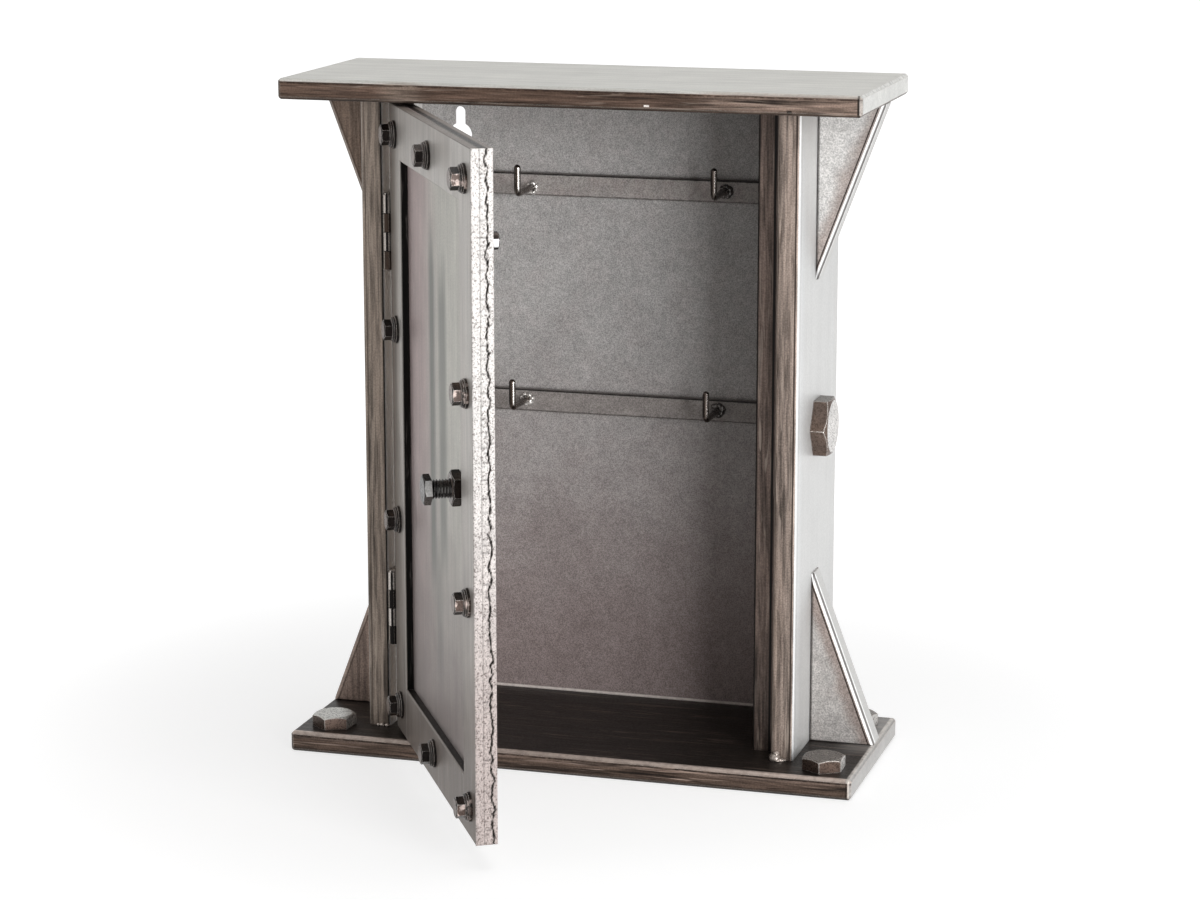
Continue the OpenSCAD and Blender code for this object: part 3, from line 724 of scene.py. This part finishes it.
# Hexagon bolt near the door's free edge, with a real thread between nut and head
def makeKnob():
    knob = {
        "shank": mm(4), "near": mm(0.05),   # radius, and how closely a point must keep to it
        "core": 0.8,                        # what the shank shrinks to inside the thread
        "headFrom": mm(12.8),               # from the door panel to the head
        "pitch": mm(1.25), "crest": mm(3.98), "root": mm(3.3), "steps": 28,
    }
    # radius, how far along the pitch, and how dark: painted shade, darkest in the thread's roots
    rib = [(knob["root"], 0, 1), (knob["root"], 0.12, 1), (knob["crest"], 0.5, 0),
           (knob["crest"], 0.62, 0), (knob["root"], 1, 1)]
    low, high = closedBox("knob_bolt")
    axis = Vector(((low.x + high.x) / 2, 0, (low.z + high.z) / 2))
    panelY = closedBox("door_panel")[0].y
    nutY = closedBox("knob_nut")[0].y
    mesh = copyNode("knob_bolt", closed=True)
    for vert in mesh.verts:     # the plain shank becomes the core inside the thread
        offset = Vector((vert.co.x - axis.x, 0, vert.co.z - axis.z))
        if abs(offset.length - knob["shank"]) < knob["near"] and vert.co.y < panelY:
            vert.co.x = axis.x + offset.x * knob["core"]
            vert.co.z = axis.z + offset.z * knob["core"]

    gap = mesh.verts.layers.float.new("gap")
    points = []
    for radius, part, dark in rib:
        point = mesh.verts.new((axis.x + radius, nutY + (1 - part) * knob["pitch"], axis.z))
        point[gap] = dark
        points.append(point)
    edges = [mesh.edges.new(pair) for pair in zip(points, points[1:])]
    turns = math.ceil((nutY - panelY + knob["headFrom"]) / knob["pitch"]) + 1
    bmesh.ops.spin(mesh, geom=points + edges, cent=axis, axis=(0, 1, 0), angle=math.tau * turns,
                   dvec=(0, -knob["pitch"] / knob["steps"], 0), steps=turns * knob["steps"], use_merge=False)
    bmesh.ops.remove_doubles(mesh, verts=mesh.verts, dist=mm(0.01))
    bmesh.ops.recalc_face_normals(mesh, faces=mesh.faces)
    mesh.transform(doorTurn)
    look = {
        "onDoor": True, "base": tone(15, 13, 12), "grain": "none", "streak": 0.2, "cloud": 0.8, "speck": 0.3,
        "cloudScale": 220, "roughness": 0.3, "metallic": 0.1, "wear": 0.3, "edge": 0.0002,
        "wearTone": tone(246, 244, 242), "cornerShade": 1.0, "cornerShadeReach": 0.0010, "cornerShadeFrom": 0.25,
        "cornerShadeTone": tone(8, 7, 7), "gapShadeAndMarks": True,
        # painted light and shade on the head's facets
        "faces": [
            (right, tone(150, 149, 147), 0, 0.9, 0.97), ((0.5, 0, -0.87), tone(92, 86, 83), 0, 0.9, 0.97),
            (front, tone(62, 60, 58), 0, 0.9, 0.97),
        ],
    }
    piece = finishPiece(mesh, "knob_bolt_threaded")
    setPiece(piece, "door", "bolt_steel", agedSteel("knob_steel", look), "knob_bolt")
    print("knob threaded:", turns, "turns")


def trimSheet(name, material, cutX):    # a door sheet without its free edge
    mesh = copyNode(name, closed=True)
    whole = list(mesh.verts) + list(mesh.edges) + list(mesh.faces)
    cut = bmesh.ops.bisect_plane(mesh, geom=whole, dist=mm(0.001), clear_outer=True,
                                 plane_co=(cutX, 0, 0), plane_no=right)
    rim = [part for part in cut["geom_cut"] if isinstance(part, bmesh.types.BMEdge)]
    bmesh.ops.holes_fill(mesh, edges=rim, sides=0)
    mesh.transform(doorTurn)
    setPiece(finishPiece(mesh, name + "_sheet"), "door", "door_steel", material, name)


# Rough-cut free edge of the door: one strip over the three sheets, with the joint
# line behind the frame and a ragged gap along the front of the back sheet
def makeDoorEdge(sheets):
    edge = {"depth": mm(0.8), "rows": 372, "columns": 36}
    low = closedBox("door_frame")[0]
    high = closedBox("door_back")[1]
    cutX = high.x - edge["depth"]
    for name, material in sheets.items():
        trimSheet(name, material, cutX)

    mesh = bmesh.new()
    bmesh.ops.create_grid(mesh, x_segments=edge["columns"], y_segments=edge["rows"], size=0.5)
    middle = Vector((high.x, (low.y + high.y) / 2, (low.z + high.z) / 2))
    size = Matrix.Diagonal((high.y - low.y, high.z - low.z, 1, 1))
    upright = Matrix(((0, 0, 1, 0), (1, 0, 0, 0), (0, 1, 0, 0), (0, 0, 0, 1)))     # its face to the right
    mesh.transform(Matrix.Translation(middle) @ upright @ size)
    gap = mesh.verts.layers.float.new("gap")
    for vert in mesh.verts:
        sunk, dark = edgeRelief((vert.co.y - low.y) * 1000, vert.co.z * 1000)
        vert.co.x -= mm(sunk)
        vert[gap] = dark
    rim = [part for part in mesh.edges if part.is_boundary]
    pulled = bmesh.ops.extrude_edge_only(mesh, edges=rim)["geom"]
    for part in pulled:
        if isinstance(part, bmesh.types.BMVert):
            part.co.x = cutX
    bmesh.ops.holes_fill(mesh, edges=[part for part in mesh.edges if part.is_boundary], sides=0)
    bmesh.ops.recalc_face_normals(mesh, faces=mesh.faces)
    mesh.transform(doorTurn)
    look = {
        "onDoor": True, "base": tone(150, 143, 137), "grain": "none", "streak": 0, "broad": 0.1, "cloud": 0.3,
        "cloudScale": 60, "speck": 0.3, "patina": 0.1, "gapShadeAndMarks": True,
        "pits": 0.7, "pitTone": tone(84, 70, 64), "pitScale": 1300,
        "cornerShade": 0.7, "cornerShadeFrom": 0.3, "cornerShadeReach": 0.0009, "wear": 0.3, "bump": 0.15, "metallic": 0.1,
        # painted light: the cut edge near-white as lit, darker towards the bottom as the light falls off
        "faces": [(right, tone(228, 224, 221), 0)],
        "zones": [zone("z", mm(190), mm(40), tone(200, 187, 183), face=right)],
    }
    setPiece(finishPiece(mesh, "door_free_edge"), "door", "door_steel", agedSteel("cut_edge_steel", look))
    print("free edge cut")


def wave(*point):
    return noise.noise(Vector(point))


# The relief of the cut edge is in millimetres, across from the door's front and up from the
# ground. Each part of it gives how deep the edge lies there and how dark it is; the ragged gap's darkness is
# painted shade in the crack
def edgeRelief(across, height):
    edge = {"top": 289, "tall": 278, "thick": 9, "corner": 0.3, "cornerFall": 0.9, "deepest": 0.74}
    low = (edge["top"] - height) / edge["tall"]     # 0 at the door's top, 1 at its foot
    fall = max(0, edge["corner"] - across, across - edge["thick"] + edge["corner"]) * edge["cornerFall"]
    parts = [grit(across, height, low), sheetJoint(across, height), cutTicks(across, height),
             raggedGap(across, height, low)]
    sunk = fall + sum(depth for depth, dark in parts)
    return min(sunk, edge["deepest"]), max(dark for depth, dark in parts)


def grit(across, height, low):
    grain = {"coarse": 2.1, "fine": 4.7, "fineShare": 0.6, "depth": 0.06,
             "darkAbove": 0.28, "darkerLow": 0.12}
    level = wave(across * grain["coarse"], height * grain["coarse"], 0) \
        + grain["fineShare"] * wave(across * grain["fine"], height * grain["fine"], 7)
    dark = max(0, level - grain["darkAbove"] + grain["darkerLow"] * low) * (1 + low) / 2
    return grain["depth"] * (1 + level), dark


def sheetJoint(across, height):     # between frame and panel
    joint = {"place": 3.45, "half": 0.25, "depth": 0.16, "wander": 0.08, "bends": 0.4,
             "dark": 0.55, "varies": 0.3, "spots": 2.2}
    away = abs(across - joint["place"] - joint["wander"] * wave(height * joint["bends"], 3, 0))
    near = max(0, 1 - away / joint["half"])
    dark = joint["dark"] + joint["varies"] * wave(height * joint["spots"], 1, 3)
    return joint["depth"] * near, dark * near


def cutTicks(across, height):   # short marks across the panel
    tick = {"from": 3.2, "to": 6.4, "often": 1.5, "slant": 0.22, "above": 0.18, "fade": 0.25,
            "depth": 0.08, "dark": 0.55}
    level = wave(height * tick["often"], 11, across * tick["slant"]) - tick["above"]
    if level <= 0 or not tick["from"] < across < tick["to"]:
        return 0, 0
    return tick["depth"], tick["dark"] * min(1, level / tick["fade"])


def raggedGap(across, height, low):     # along the front of the back sheet; its darkness is painted shade in the crack
    course = {
        "middle": 6.1, "furtherLow": 0.9, "last": 8.3,
        "bends": [(0.8, 0.05, 5), (0.8, 0.22, 2), (0.6, 0.75, 9)],      # reach, how often, which wave
        "kinkReach": 2.2, "kinks": 0.085, "kinkWander": 0.05,
    }
    gap = {"half": 0.16, "varies": 0.42, "often": 0.45, "widerLow": 0.08, "soft": 0.16, "slope": 0.2,
           "depth": 0.5}
    sawtooth = (height * course["kinks"] + wave(height * course["kinkWander"], 8, 8)) % 1
    middle = course["middle"] + course["furtherLow"] * low
    middle += course["kinkReach"] * (abs(sawtooth - 0.5) - 0.25)
    for reach, often, which in course["bends"]:
        middle += reach * wave(height * often, 0, which)
    half = gap["half"] + gap["varies"] * wave(height * gap["often"], 4, 1) + gap["widerLow"] * low
    inside = half + gap["soft"] - abs(across - min(middle, course["last"]))
    if inside <= 0:
        return 0, 0
    return gap["depth"] * min(1, inside / gap["slope"]), min(1, inside / gap["soft"])


def dressDoor():
    low = closedBox("door_frame")[0]
    ring = {
        "onDoor": True, "base": tone(189, 185, 180), "grain": "z", "streak": 0.2, "broad": 0.2, "cloud": 0.4,
        "speck": 0.25, "patina": 0.2, "patinaTone": tone(146, 134, 126), "scratch": 0.15,
        "scratchTone": tone(214, 206, 200), "wear": 0.4, "edge": 0.0004,
        # painted light and shade by face direction: the window recess's walls that face right and up painted
        # near-black as its shade
        "faces": [
            (right, tone(4, 3, 2), 0), (up, tone(20, 15, 13), 0.3), (left, tone(120, 112, 106), 0),
            (back, tone(150, 144, 139), 0),
        ],
        "zones": [
            # darker towards the bottom: painted fall-off of the light
            zone("z", mm(190), mm(20), tone(138, 129, 123), face=front, ragged=mm(40)),
            zone("z", mm(64), mm(30), tone(112, 103, 97), face=front, ragged=mm(16), amount=0.8),
            zone("z", mm(284), mm(287), tone(120, 112, 106), face=up),
            zone("x", mm(-62), mm(-78), tone(128, 120, 113), face=front),
            zone("z", mm(266), mm(289), tone(128, 119, 112), face=front, ragged=mm(30), amount=0.55,
                 within=[("x", mm(-90), mm(50), mm(8))]),
        ],
        "lines": [
            # a painted highlight along the window's edge
            line("x", low.x + mm(22.4), mm(0.3), tone(206, 200, 194), face=front, amount=0.7),
            line("x", low.x + mm(0.5), mm(0.5), tone(26, 21, 19), face=front, amount=0.9),
        ],
    }
    darkBars = [  # three soft darker bars on the panel: strength, and from where to where in x and in z
        (1, (mm(-16), mm(-5)), (mm(96), mm(240))),
        (0.85, (mm(4), mm(18)), (mm(110), mm(230))),
        (0.5, (mm(-5), mm(6)), (mm(56), mm(112))),
    ]
    panel = dict(
        ring, base=tone(186, 184, 176), patinaTone=tone(160, 146, 143), streakScale=1100, broad=0.12,
        speck=0.35, patina=0.1, lines=[],
        zones=[
            zone("x", mm(10), mm(-35), tone(174, 158, 156), face=front, ragged=mm(30)),
            # darker towards the bottom: painted fall-off of the light
            zone("z", mm(180), mm(30), tone(140, 130, 127), face=front, ragged=mm(50)),
        ] + [
            zone("z", mm(40), mm(60), tone(112, 113, 108), face=front, ragged=mm(30), amount=amount,
                 within=[("x", *wide, mm(4)), ("z", *tall, mm(16))]) for amount, wide, tall in darkBars
        ],
    )
    rear = dict(ring, base=tone(150, 144, 138))
    magnet = {
        "onDoor": True, "base": tone(52, 47, 45), "grain": "none", "streak": 0.1, "cloud": 0.1,
        "speck": 0.1, "roughness": 0.15, "metallic": 0.7, "wear": 0.9, "edge": 0.0005,
        "glints": [
            ((0.97, 0, -0.2), 0.84, 0.94, tone(255, 255, 255)), (back, 0.9, 0.97, tone(226, 224, 222)),
        ],
    }
    makeDoorEdge({
        "door_frame": agedSteel("door_frame_steel", ring),
        "door_panel": agedSteel("door_panel_steel", panel),
        "door_back": agedSteel("door_back_steel", rear),
    })
    dress(agedSteel("magnet_steel", magnet), "door_magnet")
    print("door dressed")


def dressHinges():
    leaf = {
        "base": tone(196, 189, 183), "grain": "z", "streak": 0.2, "cloud": 0.2, "speck": 0.2,
        "roughness": 0.3, "metallic": 0.6, "wear": 0.5, "edge": 0.0002, "cornerShade": 0.9,
        # a painted shade band and a painted highlight across the knuckles
        "glints": [
            ((0.16, -0.99, 0), 0.955, 0.975, tone(14, 11, 10)),
            ((0.87, -0.5, 0), 0.9, 0.95, tone(240, 234, 228)),
        ],
    }
    # the door leaf painted near-black as the shadow it stands in, with a painted highlight
    doorLeaf = dict(leaf, base=tone(16, 13, 12), wear=0.1,
                    glints=[((-0.75, -0.66, 0), 0.93, 0.97, tone(150, 142, 134))])
    dress(agedSteel("hinge_steel", leaf), "upper_hinge_post_leaf", "lower_hinge_post_leaf",
          "upper_hinge_pin", "lower_hinge_pin")
    dress(agedSteel("shadowed_hinge_steel", doorLeaf), "upper_hinge_door_leaf", "lower_hinge_door_leaf")
    print("hinges dressed")


def boxInMillimetres(name):
    return [corner * 1000 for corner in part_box(name)]


# A bead is its x, y and z and its radius, in millimetres, and how flat it is pressed
def postBeads():
    # in from the post's outer side, out from its front, off the plate, radius, flatness
    rightFoot = [(7.9, 0.1, 0.9, 2.7, 0.9), (5.7, 0.5, 0.3, 2.3, 0.6), (7.3, 0.2, 2.8, 1.6, 1.0),
                 (8.9, 0.3, 0.4, 1.5, 0.7), (4.1, 0.3, 0.4, 1.5, 0.6), (6.5, 1.5, 0.3, 1.6, 0.4)]
    leftFoot = [(8.6, 0, 0.3, 1.2, 0.8), (6.4, 0.1, 0.4, 1.5, 0.8), (4.5, 0, 0.3, 1.1, 0.8)]
    head = [(3.5, 0, 0.1, 1.4, 0.8)]
    rightLow, rightHigh = boxInMillimetres("right_side_wall")
    leftLow, leftHigh = boxInMillimetres("left_side_wall")
    ends = [    # outer side, which way is in, plate, which way is off it, beads
        (rightHigh.x, -1, rightLow.z, 1, rightFoot), (leftLow.x, 1, leftLow.z, 1, leftFoot),
        (rightHigh.x, -1, rightHigh.z, -1, head), (leftLow.x, 1, leftHigh.z, -1, head),
    ]
    beads = []
    for side, inward, plate, off, group in ends:
        for x, y, z, radius, flat in group:
            beads.append((side + inward * x, rightLow.y - y, plate + off * z, radius, flat))
    return beads


def hookBeads():
    ring = {"beads": 7, "turn": 0.9, "reach": 2.1, "size": 1.5, "varies": 0.5, "squeeze": 0.95, "flat": 0.9,
            "rodRadius": 1.5, "inFront": 0.2, "reachStep": 3.7, "sizeStep": 2.3}
    beads = []
    for name in hookNames:
        low, high = boxInMillimetres(name)
        x = (low.x + high.x) / 2
        z = low.z + ring["rodRadius"]
        for index in range(ring["beads"]):
            turn = index * ring["turn"] + x
            reach = ring["reach"] + ring["varies"] * wave(x, index * ring["reachStep"], 0)
            size = ring["size"] + ring["varies"] * wave(x, index * ring["sizeStep"], 5)
            beads.append((x + reach * math.cos(turn), high.y - ring["inFront"],
                          z + reach * ring["squeeze"] * math.sin(turn), size, ring["flat"]))
    return beads


# Weld metal: drops run together, pressed flat and spattered round
def makeWelds():
    lump = {"height": 0.22, "scale": 900, "rounds": 3}
    look = {
        "base": tone(226, 222, 218), "grain": "none", "streak": 0.1, "cloud": 0.8, "cloudScale": 300,
        "speck": 0.3, "patina": 0.4, "patinaTone": tone(90, 80, 76), "roughness": 0.2, "metallic": 0.6,
        "wear": 0.2, "edge": 0.0002, "cornerShade": 1.0, "cornerShadeReach": 0.0022, "cornerShadeTone": tone(10, 8, 8),
        "zones": [
            zone("z", mm(40), mm(20), tone(158, 148, 141), ragged=mm(20)),
            # the right hooks' welds painted dark as the shadow they stand in
            zone("x", mm(0), mm(30), tone(40, 35, 33), amount=0.8, within=[("z", mm(100), mm(280), mm(10))]),
        ],
    }
    metal = agedSteel("weld_metal", look)
    for place, beads in (("post", postBeads()), ("hook", hookBeads())):
        mesh = bmesh.new()
        for x, y, z, radius, flat in beads:
            bead = bmesh.ops.create_icosphere(mesh, subdivisions=lump["rounds"], radius=mm(radius))
            for vert in bead["verts"]:
                swell = 1 + lump["height"] * noise.noise(vert.co * lump["scale"] + Vector((x, z, radius)))
                vert.co = Vector((vert.co.x, vert.co.y, vert.co.z * flat)) * swell + mm(x, y, z)
        piece = finishPiece(mesh, place + "_weld_beads", smooth=True)
        setPiece(piece, "cabinet", "weld", metal, place + "_welds")
    print("welds laid")


makeCamera()
makeStudio()
makeFloor()
dressTopPlate()
dressBasePlate()
dressRightWall()
dressLeftWall()
dressInterior()
dressGussets()
dressBolts()
dressScrews()
dressDoor()
dressHinges()
makeKnob()
makeWelds()
